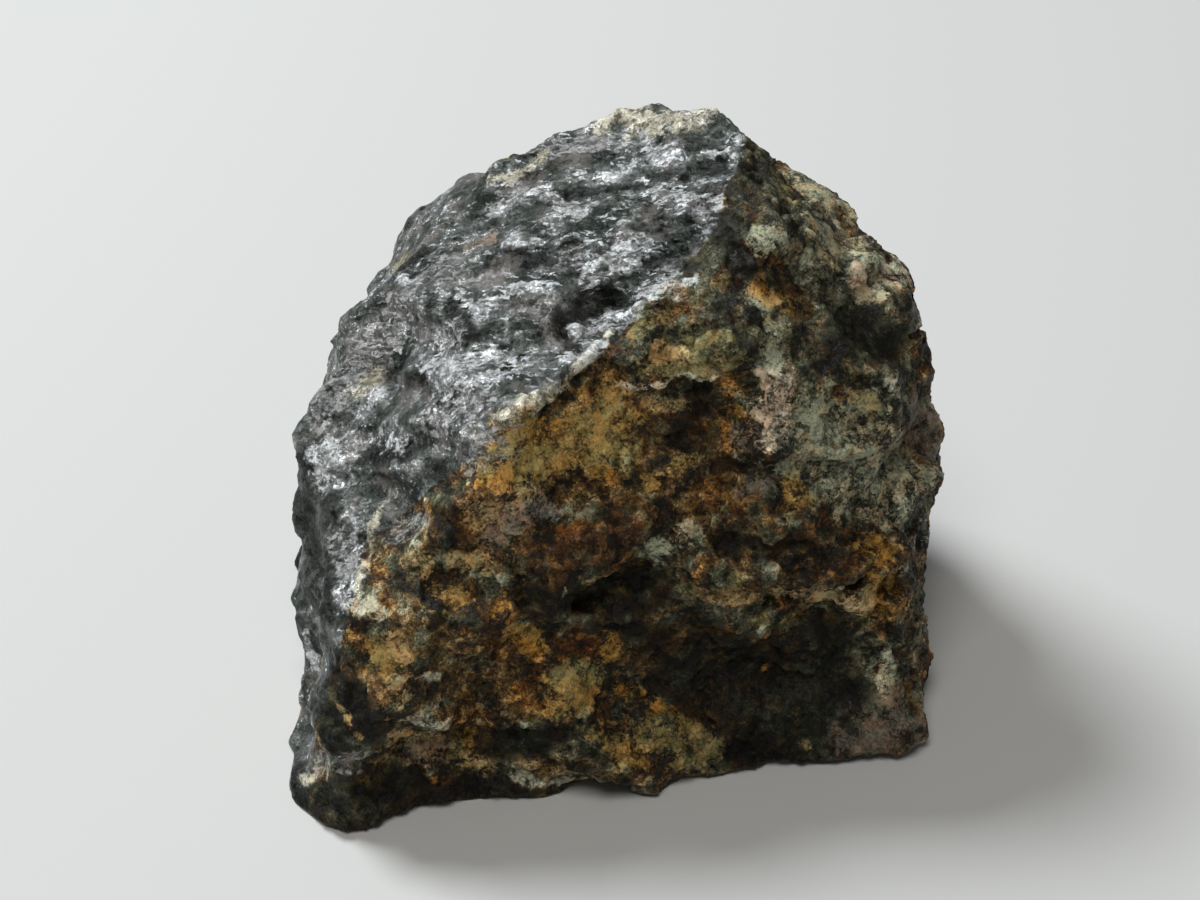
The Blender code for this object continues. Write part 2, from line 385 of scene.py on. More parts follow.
def warped(points, size, amount):
    """The points moved about by noise, which makes straight edges ragged."""
    shift = [wander(points, size, phase=p) for p in SHIFT_PHASES]
    return points + np.stack(shift, axis=1) * amount


SWELL = 0.04
swell = SWELL * wander(rest, size=0.9, octaves=3)
print("swells up to", round(float(swell.max()), 3), "mm")

# %% [markdown]
# ## Strewn grains
# Grains lie anywhere, but about a given distance apart. Each is a random point of the skin, and every
# other point of the skin belongs to the nearest one. How much further the second nearest is tells how
# close the grain's edge is.

# %% Strewn grains
SQUARE_MM_PER_POINT = SKIN_STEP ** 2


def strewn(spacing, seed):
    """Numbers of random skin points that lie about the spacing apart, in mm."""
    count = int(len(rest) * SQUARE_MM_PER_POINT / spacing ** 2)
    return np.random.default_rng(seed).choice(len(rest), size=count, replace=False)


def nearest_two(points, centres):
    """For each point, the numbers of the nearest and second centre, and how much further the second is."""
    tree = kdtree.KDTree(len(centres))
    for number, centre in enumerate(centres.tolist()):
        tree.insert(centre, number)
    tree.balance()
    found = [tree.find_n(p, 2) for p in points.tolist()]
    first = np.array([f[0][1] for f in found])
    second = np.array([f[1][1] for f in found])
    gap = np.array([f[1][2] - f[0][2] for f in found])
    return first, second, gap


# %% [markdown]
# ## Facets
# A broken crystalline rock is a mosaic: each grain parts along a flat of its own. So each strewn grain
# gets a plane, tilted a little from the skin and a little higher or lower, and the skin is drawn to that
# plane. The step between two planes is bevelled, as the edges of real grains are. Noise displacement
# alone would give a soft, doughy surface without these flats.

# %% Facets
WARP_SIZE = 0.8
WARP_AMOUNT = 0.25
MOST_HEIGHT = 0.35
LEAST_LEAN = 0.5


def facet_heights(spacing, tilt, lift, bevel, seed, stretch=None):
    """Height of the facets over the skin, in mm, and at each point its grain's own random number."""
    chosen = strewn(spacing, seed)
    draws = np.random.default_rng(seed + 1)
    stretch = np.eye(3) if stretch is None else stretch
    places = warped(rest, spacing * WARP_SIZE, spacing * WARP_AMOUNT) @ stretch
    first, second, gap = nearest_two(places, rest[chosen] @ stretch)
    centres = rest[chosen]
    planes = facing[chosen] + draws.normal(0, tilt, (len(chosen), 3))
    planes /= np.linalg.norm(planes, axis=1, keepdims=True)
    centres = centres + planes * draws.uniform(-lift, lift, (len(chosen), 1))

    def height(which):
        along = np.sum((centres[which] - rest) * planes[which], axis=1)
        lean = np.sum(facing * planes[which], axis=1)
        return np.clip(along / np.maximum(lean, LEAST_LEAN), -spacing * MOST_HEIGHT, spacing * MOST_HEIGHT)

    share = 0.5 - 0.5 * ramp(gap, 0, bevel)
    heights = height(first) * (1 - share) + height(second) * share
    print("facets", spacing, "mm apart:", len(chosen), "grains")
    return heights, draws.random(len(chosen))[first]


# The grains of the granular side come in three sizes, one on the other.
coarse, coarse_tone = facet_heights(spacing=1.8, tilt=0.20, lift=0.06, bevel=0.25, seed=11)
fine, fine_tone = facet_heights(spacing=0.8, tilt=0.30, lift=0.04, bevel=0.15, seed=23)
crumb, _ = facet_heights(spacing=0.42, tilt=0.38, lift=0.03, bevel=0.08, seed=29)

# %% [markdown]
# ## Lenses
# The silver side split along sheets of mica, which the rock's folding drew out into flat lenses. They are
# the same facets in a stretched space: long along the flow and thin across the layers.

# %% Lenses
LAYERS_UP = Vector((-0.25, 0.10, 0.96)).normalized()
FLOW = Vector((0.93, -0.28, 0.27)).normalized()


def drawn_out(along, across):
    """A stretch that makes cells longer along the flow and thinner across the layers."""
    flow = np.array(FLOW)
    up = np.array(LAYERS_UP)
    return np.eye(3) + (1 / along - 1) * np.outer(flow, flow) + (across - 1) * np.outer(up, up)


lens, lens_tone = facet_heights(spacing=1.3, tilt=0.20, lift=0.08, bevel=0.2, seed=37,
                                stretch=drawn_out(along=2.6, across=1.5))

# %% [markdown]
# ## Two kinds of rock
# A ridge runs over the front. Above it the stone parted along mica and shines like pewter; below it the
# break goes through grains and rust. The border is a curtain that hangs from the ridge as the camera sees
# it. It is drawn in the picture, since a line on the skin would end where the ridge turns out of sight.

# %% Two kinds of rock
RIDGE = ((300, 900), (318, 720), (350, 620), (362, 565), (385, 528), (430, 492), (470, 455), (500, 425),
         (560, 385), (620, 330), (668, 290), (700, 252), (716, 215), (733, 180), (745, 140), (752, -200))
MM_PER_PIXEL = CAMERA_DISTANCE / MM / PIXELS_PER_SLOPE
RIDGE_BLEND = (-0.25, 0.35)


def places_in_picture(points):
    """Picture coordinates of an array of points in mm."""
    away = points * MM - np.array(camera.location)
    depth = away @ np.array(-TO_CAMERA)
    x = PICTURE[0] / 2 + away[:, 0] / depth * PIXELS_PER_SLOPE
    y = PICTURE[1] / 2 - away @ np.array(UP_IN_PICTURE) / depth * PIXELS_PER_SLOPE
    return x, y


def left_of_ridge(points):
    """How far each point lies on the silver side of the ridge, in mm; negative on the other side."""
    x, y = places_in_picture(points)
    nearest = np.full(len(points), FAR_AWAY)
    side = np.zeros(len(points))
    for (x0, y0), (x1, y1) in zip(RIDGE, RIDGE[1:]):
        dx, dy = x1 - x0, y1 - y0
        along = np.clip(((x - x0) * dx + (y - y0) * dy) / (dx * dx + dy * dy), 0, 1)
        off_x, off_y = x - x0 - along * dx, y - y0 - along * dy
        distance = np.hypot(off_x, off_y)
        closer = distance < nearest
        nearest = np.where(closer, distance, nearest)
        side = np.where(closer, np.sign(dx * off_y - dy * off_x), side)
    return -side * nearest * MM_PER_PIXEL


silver = ramp(left_of_ridge(warped(rest, size=2.0, amount=0.5)), *RIDGE_BLEND)
print("silver side:", round(float(silver.mean()) * 100), "% of the skin")

# %% [markdown]
# ## Patches of mineral
# A stone like this is known by its patches: a white quartz scab, a cream knob, rust in the hollows. An
# image laid over the stone would slide off its sides. So each patch is a stroke, laid through a few
# places of the picture and carried onto the skin, where it also shapes the skin. A row has a name, the
# half width and how far the patch stands proud, both in mm, and the places. The first strokes are broad:
# they say where the ground is greenish grey, because rust hasn't soaked in.

# %% Greenish ground
MARKS = {
    "greenish": (
        ("right_shoulder", 2.6, 0.0, (775, 190), (830, 260), (880, 320)),
        ("right_side", 2.4, 0.0, (880, 360), (880, 440), (850, 480)),
        ("right_wall", 1.8, 0.0, (930, 430), (925, 520), (915, 640)),
        ("right_foot", 2.6, 0.0, (860, 660), (820, 720), (870, 740)),
        ("high_middle", 1.8, 0.0, (720, 320), (780, 330), (790, 400)),
        ("under_ridge", 1.3, 0.0, (650, 352), (720, 345)),
        ("beside_ridge", 0.9, 0.0, (712, 262), (732, 216)),
        ("ledge_side", 1.2, 0.0, (690, 600), (770, 620)),
        ("low_left_side", 1.6, 0.0, (315, 700), (350, 730), (330, 790)),
        ("low_middle", 1.3, 0.0, (520, 740), (580, 750)),
    ),
}


def print_strokes(*kinds):
    for kind in kinds:
        print(kind, "has", len(MARKS[kind]), "strokes")


print_strokes("greenish")

# %% [markdown]
# ## Quartz and feldspar
# White quartz and cream feldspar stand a little proud, because they are harder than the rest. On the
# silver side, grey streaks are quartz that mica veils. A few pale strokes paint glints of light instead.

# %% Quartz and feldspar
MARKS |= {
    "pale": (
        # Painted highlight: a glint of light, painted as a pale patch.
        ("crown_glint", 0.45, 0.0, (648, 140), (662, 156)),
        ("crown_streak", 0.28, 0.05, (645, 156), (683, 155)),
        ("crest_streak", 0.22, 0.05, (700, 154), (736, 148)),
        ("crest_edge", 0.25, 0.05, (745, 126), (737, 158)),
        ("high_streak", 0.25, 0.08, (580, 174), (622, 178)),
        ("left_high_scab", 0.45, 0.05, (552, 213), (588, 206)),
        # Painted highlight: these two strokes paint bluish glints of light as pale patches.
        ("blue_glint_streaks", 0.55, 0.10, (660, 194), (712, 208)),
        ("blue_glint_patch", 0.65, 0.10, (590, 272), (612, 262), (636, 256)),
        ("high_scab", 0.35, 0.05, (534, 194), (556, 200)),
        ("ridge_scab", 0.5, 0.05, (566, 354), (596, 346)),
        ("below_left_scab", 0.4, 0.05, (380, 434), (402, 446)),
        # Painted highlight: bluish glints of light, painted as a pale streak.
        ("low_blue_glint_streak", 0.5, 0.10, (644, 294), (686, 280)),
        ("white_seam", 0.38, 0.12, (578, 328), (606, 324), (640, 308)),
        ("white_scab", 0.95, 0.10, (445, 374), (488, 366)),
        ("white_scab_tail", 0.6, 0.05, (432, 362), (446, 384)),
        ("small_streak", 0.3, 0.05, (512, 289), (536, 282)),
        ("small_scab", 0.3, 0.05, (464, 293), (472, 306)),
        ("small_scab_tail", 0.3, 0.05, (478, 304), (508, 300)),
        ("left_square", 0.85, 0.08, (325, 455), (338, 470)),
        ("left_dot", 0.3, 0.10, (400, 276), (405, 280)),
        ("lilac_white", 0.35, 0.05, (336, 588), (350, 604)),
        ("low_left_spots", 0.4, 0.05, (306, 636), (318, 668)),
        ("right_edge_dots", 0.25, 0.05, (931, 518), (929, 540)),
    ),
    "cream": (
        ("cream_knob", 0.5, 0.22, (506, 416), (534, 404)),
        ("ridge_rim", 0.28, 0.12, (540, 398), (566, 384), (590, 352), (610, 336)),
        ("crown", 0.7, 0.0, (640, 124), (698, 118)),
        ("crown_left", 0.5, 0.0, (600, 126), (640, 118)),
        ("left_rim", 0.4, 0.05, (490, 182), (512, 178)),
        ("left_rim_high", 0.4, 0.05, (528, 168), (545, 150)),
        ("left_knob", 0.6, 0.05, (358, 392), (376, 378)),
        ("white_line", 0.22, 0.10, (383, 506), (370, 530), (364, 572), (362, 600)),
        ("line_foot", 0.35, 0.0, (352, 612), (380, 612)),
        ("pale_ledge", 0.18, 0.14, (622, 384), (650, 386), (690, 378), (728, 372)),
        ("low_cream", 0.42, 0.05, (412, 720), (440, 726)),
        ("low_line", 0.14, 0.05, (396, 681), (438, 673)),
        ("toe_rim", 0.28, 0.0, (298, 776), (330, 773)),
        ("right_seam", 0.35, 0.05, (904, 508), (908, 540), (906, 566)),
        ("grain_lip", 0.3, 0.05, (896, 258), (900, 280)),
        ("right_dot", 0.35, 0.0, (888, 384), (898, 392)),
        ("wedge", 0.22, 0.1, (888, 654), (880, 690)),
        ("low_rim", 0.25, 0.0, (515, 776), (560, 782), (592, 778)),
        ("speck", 0.3, 0.0, (764, 634), (760, 632)),
    ),
    "grey": (
        ("left_strip", 1.15, 0.0, (372, 345), (398, 318), (430, 282), (452, 262)),
        ("left_strip_low", 0.7, 0.0, (318, 420), (345, 385), (370, 350)),
        ("left_streaks", 0.4, 0.05, (404, 292), (444, 262), (474, 240)),
        ("left_pale", 0.6, 0.0, (500, 205), (516, 190)),
        ("crest_grey", 0.6, 0.0, (560, 148), (600, 140)),
        ("blue_hatch", 0.7, 0.0, (430, 340), (455, 335)),
        ("left_hatch", 0.6, 0.0, (396, 530), (424, 522)),
        ("left_field", 0.9, 0.0, (440, 420), (480, 400)),
        ("left_low_field", 0.7, 0.0, (340, 540), (352, 570)),
        ("ridge_grey", 0.9, 0.0, (478, 456), (502, 440)),
        ("toe_grey", 0.7, 0.0, (320, 762), (356, 758)),
        ("grain_gloss", 0.3, 0.05, (530, 508), (554, 512)),
    ),
}
print_strokes("pale", "cream", "grey")

# %% [markdown]
# ## Rust
# Iron from the mica and the iolite weathers out as rust. Where it is thin the grains turn tan and ochre,
# and where it gathers they turn a bright rusty brown.

# %% Rust
MARKS |= {
    "tan": (
        ("tan_chip", 0.5, 0.08, (410, 556), (424, 560)),
        ("orange_field", 0.9, 0.0, (482, 508), (512, 492)),
        ("ledge_light", 0.4, 0.0, (652, 402), (684, 404)),
        ("ridge_light", 0.35, 0.0, (656, 354), (682, 357)),
        ("left_bright", 0.5, 0.0, (458, 556), (480, 566)),
        ("foot_bright", 0.5, 0.0, (456, 752), (482, 762)),
        ("orange_grain", 0.5, 0.1, (478, 500), (500, 496)),
        ("low_tan", 0.8, 0.0, (404, 734), (432, 744)),
        ("low_tan_high", 0.5, 0.0, (396, 682), (402, 700)),
        ("left_tan", 0.4, 0.0, (398, 640), (400, 655)),
        ("ledge_tan", 0.7, 0.05, (806, 592), (866, 598)),
        ("ledge_tan_left", 0.45, 0.1, (700, 590), (778, 592)),
        ("thin_line", 0.12, 0.03, (335, 702), (346, 716), (364, 742)),
        ("low_tan_dot", 0.25, 0.0, (798, 738), (802, 740)),
    ),
    "rust": (
        ("bright_rust", 0.6, 0.0, (514, 632), (536, 650)),
        ("bright_rust_high", 0.4, 0.0, (502, 610), (512, 628)),
        ("right_rust", 0.75, 0.0, (874, 548), (884, 580), (888, 606)),
        ("low_band", 0.35, 0.0, (622, 682), (646, 700), (672, 712)),
        ("ridge_rust", 0.5, 0.0, (485, 480), (508, 482)),
        ("high_rust", 0.45, 0.0, (762, 290), (788, 304)),
        ("mid_rust", 0.3, 0.0, (736, 408), (754, 416)),
        ("low_rust_dot", 0.2, 0.0, (765, 665), (766, 667)),
        ("foot_rust", 0.35, 0.0, (466, 746), (472, 730)),
        ("edge_rust", 0.3, 0.0, (520, 414), (540, 420)),
        ("knob_rust", 0.4, 0.0, (540, 440), (548, 428)),
        ("mid_rust_left", 0.4, 0.0, (600, 470), (612, 480)),
        ("low_rust", 0.45, 0.0, (606, 640), (618, 652)),
    ),
    "ochre": (
        ("smooth_ochre", 1.1, 0.05, (552, 452), (586, 446)),
        ("ochre_edge", 0.7, 0.0, (596, 420), (610, 400)),
        ("ochre_left", 0.7, 0.0, (490, 478), (506, 470)),
        ("mid_ochre", 0.45, 0.0, (672, 465), (692, 462)),
        ("mid_ochre_low", 0.35, 0.0, (644, 478), (652, 482)),
        ("round_ochre", 0.65, 0.06, (790, 486), (798, 494)),
        ("low_ochre", 0.8, 0.0, (560, 700), (590, 690)),
        ("left_ochre", 0.5, 0.0, (440, 590), (460, 600)),
        ("low_left_ochre", 0.8, 0.0, (380, 650), (395, 664)),
        ("wide_ochre", 1.6, 0.0, (520, 450), (600, 430)),
        ("foot_ochre", 0.5, 0.0, (600, 735), (640, 760)),
    ),
}
print_strokes("tan", "rust", "ochre")

# %% [markdown]
# ## Pink grains
# A few grains of feldspar are pinkish: one pale pink streak below the shoulder, and duller, rosy grains.

# %% Pink grains
MARKS |= {
    "pink": (
        ("pink_streak", 0.68, 0.0, (778, 384), (772, 410), (767, 436)),
    ),
    "rosy": (
        ("big_grain_low", 0.6, 0.0, (858, 276), (882, 280)),
        ("left_pinkish", 0.35, 0.0, (474, 246), (490, 242)),
        ("pinkish_grain", 0.8, 0.12, (508, 520), (540, 504)),
        ("pinkish_grain_low", 0.6, 0.05, (490, 540), (506, 528)),
        ("low_rosy", 0.5, 0.0, (412, 748), (440, 752)),
        ("right_of_middle", 0.45, 0.0, (738, 434), (752, 446)),
        ("right_edge_rosy", 0.35, 0.0, (914, 540), (918, 560)),
    ),
}
print_strokes("pink", "rosy")

# %% [markdown]
# ## Dull grains
# Iolite itself is dull where it has altered: lilac brown, olive, or a soft green grey.

# %% Dull grains
MARKS |= {
    "lilac": (
        ("lobe", 1.35, 0.10, (868, 738), (900, 722)),
        ("right_mauve", 1.1, 0.0, (916, 408), (926, 446)),
        ("mauve_chip", 0.55, 0.05, (748, 488), (764, 482)),
        ("left_lilac", 0.5, 0.0, (568, 206), (580, 212)),
    ),
    "olive": (
        ("low_olive", 0.9, 0.0, (650, 735), (700, 750)),
        ("high_olive", 0.7, 0.0, (694, 345), (710, 340)),
        ("ledge_top", 0.6, 0.0, (650, 366), (690, 366), (734, 364)),
        ("olive_edge", 0.25, 0.05, (772, 160), (784, 186), (794, 208)),
        ("amber_edge", 0.2, 0.05, (808, 216), (814, 236)),
        ("olive_dots", 0.35, 0.0, (757, 618), (760, 628)),
        ("olive_dot", 0.25, 0.0, (785, 616), (786, 628)),
        ("ridge_olive", 0.5, 0.0, (634, 325), (660, 318)),
        ("ledge_olive", 0.6, 0.0, (694, 590), (740, 588)),
        ("right_olive", 0.6, 0.0, (860, 396), (872, 404)),
        ("mid_olive", 0.7, 0.0, (610, 440), (625, 460)),
        ("foot_olive", 0.6, 0.0, (560, 680), (600, 672)),
    ),
    "green_grey": (
        ("round_grain", 0.72, 0.10, (764, 242), (778, 242)),
        ("big_grain", 1.35, 0.06, (822, 238), (846, 248), (868, 264)),
        ("right_pale", 0.55, 0.05, (815, 440), (842, 446)),
        ("right_field", 2.2, 0.0, (815, 440), (850, 458), (884, 470)),
        ("right_field_high", 0.8, 0.0, (866, 400), (880, 430)),
        ("mid_chip", 0.5, 0.08, (656, 546), (694, 536)),
        ("high_chip", 0.5, 0.1, (752, 298), (776, 302)),
        ("vertical", 0.5, 0.0, (770, 330), (772, 366)),
        ("right_upper", 0.9, 0.0, (800, 180), (822, 206)),
        ("ledge_pale", 0.55, 0.03, (798, 590), (866, 598)),
        ("shoulder_rim", 0.7, 0.0, (826, 196), (852, 214)),
        ("wedge_side", 0.4, 0.05, (890, 664), (884, 692)),
    ),
}
print_strokes("lilac", "olive", "green_grey")

# %% [markdown]
# ## Black biotite, deep hollows and painted shadow
# Black mica is soft, so it breaks out and leaves pits and notches. These strokes darken the ground, and
# most lie deeper than the skin around them. A few paint shade as black instead: the strokes along the
# foot paint its shadow, and two in a hollow of the front paint the shade under its overhang.

# %% Black biotite, deep hollows and painted shadow
MARKS |= {
    "black": (
        ("pit", 0.7, -0.45, (560, 318), (584, 308), (612, 297)),
        ("pit_low", 0.45, -0.3, (554, 332), (564, 342), (576, 346)),
        ("red_black_spot", 0.4, -0.2, (634, 226), (662, 228)),
        ("silver_dark_right", 0.5, -0.05, (652, 262), (688, 264)),
        ("dark_ledge_high", 0.4, -0.12, (716, 466), (760, 464), (802, 472)),
        ("dark_ledge_mid", 0.5, -0.05, (722, 538), (760, 546), (800, 540)),
        # Painted shade: these two strokes paint the shade under the overhang of a recess as black.
        ("hollow", 1.0, -0.05, (552, 600), (600, 600), (650, 596)),
        ("hollow_low", 0.8, 0.0, (600, 620), (660, 640)),
        ("low_dark", 1.6, 0.0, (700, 690), (760, 700)),
        ("low_dark_right", 1.3, 0.0, (790, 640), (820, 640)),
        # Painted shadow: the shadow at the right of the foot, painted as black.
        ("low_foot_shadow", 1.2, 0.0, (740, 750), (800, 756)),
        ("left_notch", 0.3, -0.15, (432, 626), (446, 610)),
        ("low_left_dark", 0.9, 0.0, (350, 690), (372, 730)),
        ("low_mid_dark", 0.8, 0.0, (496, 746), (556, 736)),
        ("right_dark", 1.6, 0.0, (850, 330), (880, 350)),
        ("ridge_dark", 0.8, 0.0, (728, 222), (742, 262)),
        ("high_dark", 0.8, 0.0, (716, 340), (740, 350)),
        ("left_wall", 1.5, 0.0, (306, 500), (312, 560), (316, 600)),
        ("left_wall_edge", 1.7, 0.0, (297, 480), (298, 560), (300, 640)),
        ("left_wall_low", 0.8, 0.0, (330, 650), (334, 680)),
        # Painted shadow: these two strokes paint the shadow under the toe and the lip as black.
        ("toe_shadow", 1.7, 0.0, (292, 800), (340, 806), (410, 804)),
        ("lip_shadow", 1.0, 0.0, (430, 800), (520, 792)),
        ("wall_front", 0.9, 0.0, (330, 500), (326, 560), (322, 600)),
        ("wall_low_front", 1.0, 0.0, (318, 690), (330, 730), (340, 750)),
        ("low_right_field", 2.9, 0.0, (705, 665), (780, 705)),
        ("facet_field", 1.3, 0.0, (820, 640), (840, 690)),
        ("dome", 0.42, 0.05, (388, 380), (400, 364), (414, 352)),
        ("crest_band", 0.40, -0.05, (657, 178), (690, 172), (719, 164)),
        ("crest_band_low", 0.35, -0.05, (560, 196), (600, 190), (640, 184)),
        ("silver_dark_left", 0.45, 0.0, (384, 300), (402, 276), (424, 250)),
        ("silver_dark_mid", 0.5, -0.05, (514, 254), (548, 262)),
        ("silver_dark_low", 0.45, 0.0, (452, 300), (458, 322), (480, 330)),
        ("silver_dark_field", 0.6, 0.0, (372, 452), (412, 450), (440, 470)),
        ("foot_right", 1.6, 0.0, (790, 700), (830, 730)),
    ),
}
print_strokes("black")

# %% [markdown]
# ## Kinds of ground
# The last strokes place no mineral. They say where the silver side is sugary, without streaks, where its
# mica is the liveliest and gets the most painted glints, and where the ground is soaked with brown.

# %% Kinds of ground
MARKS |= {
    "sugary": (
        ("lower_silver", 2.4, 0.0, (345, 430), (400, 470), (440, 425)),
        ("lower_silver_foot", 2.2, 0.0, (350, 520), (350, 590)),
        ("wall", 2.2, 0.0, (308, 470), (310, 620)),
        ("toe", 1.8, 0.0, (310, 690), (330, 770)),
    ),
    # Where these lie, the finish paints more glints of light on the mica.
    "mica": (
        ("crest", 1.8, 0.0, (640, 200), (720, 200)),
        ("crest_line", 0.8, 0.0, (650, 150), (730, 150)),
        ("middle", 2.0, 0.0, (560, 250), (690, 235)),
        ("below_pit", 1.3, 0.0, (580, 330), (680, 280)),
        ("around_scab", 1.2, 0.0, (440, 376), (500, 366)),
        ("left_square", 0.9, 0.0, (325, 455), (340, 470)),
    ),
    "brown": (
        ("brown_hollow", 0.8, -0.1, (446, 520), (484, 524)),
        ("mid_brown", 1.3, 0.0, (550, 556), (580, 545), (640, 530)),
        ("below_mauve", 0.7, 0.0, (744, 512), (786, 520)),
        ("right_brown", 1.3, 0.0, (820, 520), (860, 560)),
        ("low_brown", 1.2, 0.0, (560, 640), (600, 660)),
        ("high_brown", 0.9, 0.0, (640, 420), (700, 430)),
        ("ridge_brown", 0.6, 0.0, (560, 400), (590, 395)),
    ),
}
print_strokes("sugary", "mica", "brown")

# %% [markdown]
# ## The shares of the marks
# A patch of mineral has no clean outline: it ends where its last grains broke off. So the distances are
# taken in a space that noise has shaken twice, and they swell and shrink in blotches. A mark is fully
# itself on its core and fades to its rim.

# %% The shares of the marks
MARK_CORE = 0.15
MARK_RIM = 1.75
LIFT_CORE = 0.3
LIFT_RIM = 1.3
BLOTCH = 0.55
ragged_rest = warped(warped(rest, size=1.6, amount=0.35), size=0.5, amount=0.14)
blotchy = 1 + BLOTCH * wander(rest, size=0.8, octaves=2, phase=5.0)
share_of = {}
mark_height = np.zeros(len(rest))
for mineral, strokes in MARKS.items():
    share_of[mineral] = np.zeros(len(rest))
    for name, half_width, lift, *places in strokes:
        distance = distances_to_stroke(ragged_rest, places) * blotchy
        mark = on_stroke(distance, half_width, MARK_CORE, MARK_RIM)
        share_of[mineral] = np.maximum(share_of[mineral], mark)
        mark_height += lift * on_stroke(distance, half_width, LIFT_CORE, LIFT_RIM)
print("marks stand", round(float(mark_height.max()), 2), "mm proud and lie",
      round(float(-mark_height.min()), 2), "mm deep")

# %% [markdown]
# ## Larger forms
# A few notches and swellings of the outline are too broad for the marks and too shallow for the solid.
# Each row has a name, the half width and how far it stands proud in mm, and the places of a stroke.

# %% Larger forms
FORM = (
    ("right_shoulder", 1.9, 0.7, (905, 280), (915, 310), (918, 345)),
    ("right_notch", 0.9, 0.35, (918, 335), (920, 348)),
    ("right_bump", 1.2, -0.5, (938, 372), (940, 392)),
    ("left_high", 2.2, 0.45, (400, 238), (422, 215), (455, 192)),
    ("left_wall_out", 2.2, 0.3, (298, 430), (296, 530)),
    ("crown_notch", 1.1, 0.4, (662, 114), (678, 111)),
    ("shoulder_fill", 1.4, 0.3, (790, 160), (822, 182)),
    ("shoulder_bay", 0.9, 0.2, (866, 242), (880, 252)),
    ("ledge_slot", 0.5, 0.3, (660, 402), (716, 398)),
)
FORM_CORE = 0.2
FORM_RIM = 1.5
form_height = np.zeros(len(rest))
for name, half_width, lift, *places in FORM:
    form_height += lift * on_stroke(distances_to_stroke(rest, places), half_width, FORM_CORE, FORM_RIM)
print("larger forms:", len(FORM))

# %% [markdown]
# ## Minerals on the far sides
# The sides that the marks don't reach carry the same minerals, in spots that noise strews about. The
# higher a mineral's level, the fewer and smaller its spots.

# %% Minerals on the far sides
SPOT_SIZE = 3.0
SPOT_SOFTNESS = 0.25
PHASE_STEP = 7.3
FAR_SIDE = (-0.05, 0.25)
SPOT_LEVEL = {
    "rosy": 0.42, "greenish": 0.0, "pale": 0.46, "cream": 0.48, "grey": 0.32, "tan": 0.40, "rust": 0.48,
    "ochre": 0.38, "pink": 0.50, "lilac": 0.36, "olive": 0.34, "green_grey": 0.32, "black": 0.12,
    "brown": 0.15,
}
far_side = 1 - ramp(facing @ np.array(TO_CAMERA), *FAR_SIDE)
for number, (mineral, level) in enumerate(SPOT_LEVEL.items()):
    swells = wander(ragged_rest, SPOT_SIZE, octaves=2, phase=PHASE_STEP * number)
    spots = ramp(swells, level, level + SPOT_SOFTNESS)
    share_of[mineral] = np.maximum(share_of[mineral], spots * far_side)
print("far side:", round(float(far_side.mean()) * 100), "% of the skin")

# %% [markdown]
# ## Working the skin
# Now the heights come together. The granular side takes its three sizes of grain, the silver side its
# lenses with a little grain on them, and less where it turns down the left wall. Tight, smooth minerals
# keep the facets low. The foot stays flat, and nothing leaves the solid's box by more than a hair.

# %% Working the skin
COARSE_RELIEF = 0.38
FINE_RELIEF = 0.52
CRUMB_RELIEF = 0.60
LENS_RELIEF = 0.38
SILVER_FINE_RELIEF = 0.14
SILVER_CRUMB_RELIEF = 0.30
LEFT_WALL = (0.30, 0.62)
WALL_CALM = 0.5
CALM_MINERALS = ("grey", "lilac", "green_grey", "ochre", "rosy")
MINERAL_CALM = 0.55
FLAT_FOOT = 0.6
BOX_MARGIN = 0.2

granular = COARSE_RELIEF * coarse + FINE_RELIEF * fine + CRUMB_RELIEF * crumb
silvery = LENS_RELIEF * lens + SILVER_FINE_RELIEF * fine + SILVER_CRUMB_RELIEF * crumb
turned = ramp(-facing[:, 0], *LEFT_WALL)
silvery *= 1 - WALL_CALM * turned
calm = np.maximum.reduce([share_of[mineral] for mineral in CALM_MINERALS]) * MINERAL_CALM
height = (granular * (1 - silver) + silvery * silver) * (1 - calm)
height += swell
height += mark_height + form_height
moved = rest + facing * (height * ramp(rest[:, 2], 0.0, FLAT_FOOT))[:, None]
low = np.array(cad_box[0]) / MM - (BOX_MARGIN, BOX_MARGIN, 0)
high = np.array(cad_box[1]) / MM + BOX_MARGIN
set_points(stone.data, np.clip(moved, low, high))
print("worked from", round(float(height.min()), 2), "to", round(float(height.max()), 2), "mm")

# %% [markdown]
# ## Numbers that the skin carries
# A shader can't know which mineral a point belongs to, so the skin carries each share as a number on
# every point, as a weight map would. The depth below a smoother skin tells where the finish paints shade
# into the hollows and where it paints edges paler, as wear and as a highlight. Then the mesh is thinned a
# little, which keeps its numbers.

# %% Numbers that the skin carries
HOLLOW_ROUNDS = 24
MOST_TRIANGLES = 190000


def keep(mesh, name, values):
    """Stores one number per point under a name that the material can read."""
    layer = mesh.attributes.new(name, "FLOAT", "POINT")
    layer.data.foreach_set("value", np.asarray(values, dtype=np.float32))


hollow = depth_below_even(stone, HOLLOW_ROUNDS)
print("hollows from", np.round(np.percentile(hollow, (2, 50, 98)), 3), "mm")
keep(stone.data, "silver", silver)
keep(stone.data, "turned", turned)
keep(stone.data, "coarse_tone", coarse_tone)
keep(stone.data, "fine_tone", fine_tone)
keep(stone.data, "lens_tone", lens_tone)
keep(stone.data, "hollow", hollow)
for mineral, share in share_of.items():
    keep(stone.data, mineral, share)
triangles = sum(len(p.vertices) - 2 for p in stone.data.polygons)
if triangles > MOST_TRIANGLES:
    with_modifiers(stone, ("DECIMATE", {"ratio": MOST_TRIANGLES / triangles}))
stone.data.shade_smooth()
print("stone:", len(stone.data.polygons), "faces")

# %% [markdown]
# ## The finish
# One material holds every mineral, because on the stone they run into one another. It reads the numbers
# that the skin carries, roughens their borders with noise, and paints mineral over mineral. First come
# the helpers: a node tree is easier to read as sums than as hundreds of wires.

